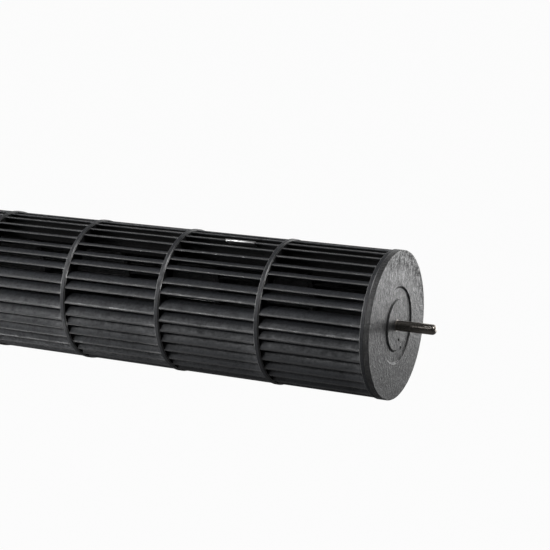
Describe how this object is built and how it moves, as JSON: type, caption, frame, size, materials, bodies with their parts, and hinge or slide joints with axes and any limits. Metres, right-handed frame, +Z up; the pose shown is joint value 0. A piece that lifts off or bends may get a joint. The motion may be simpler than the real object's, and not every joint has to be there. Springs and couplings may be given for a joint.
{
  "type": "cross flow fan wheel",
  "caption": "Long cross flow fan wheel of dark moulded plastic: ringed segments of forward-curved blades between a motor end plate and an end plate with a steel bearing shaft.",
  "frame": {"origin": "centre of the motor bore's mouth, at the outer end of the hub sleeve", "axes": "+X along the wheel's axis towards the bearing shaft, +Z up, -Y towards the viewer"},
  "size_m": [0.6438, 0.1, 0.1],
  "materials": {
    "fan_plastic": "dark grey glass-filled moulding, satin",
    "shaft_steel": "ground steel",
    "clip_steel": "bright spring steel",
    "hub_metal": "turned aluminium",
    "damper_rubber": "matt black rubber",
    "screw_steel": "black oxide steel"
  },
  "bodies": {
    "root": {"end_plate": "fan_plastic", "bearing_shaft": "shaft_steel", "blade_segment_1": "fan_plastic", "blade_segment_2": "fan_plastic", "blade_segment_3": "fan_plastic", "blade_segment_4": "fan_plastic", "blade_segment_5": "fan_plastic", "blade_segment_6": "fan_plastic", "blade_segment_7": "fan_plastic", "blade_segment_8": "fan_plastic", "motor_plate": "fan_plastic", "damper_bush": "damper_rubber", "hub_sleeve": "hub_metal", "set_screw": "screw_steel", "balance_clip": "clip_steel"}
  },
  "joints": []
}
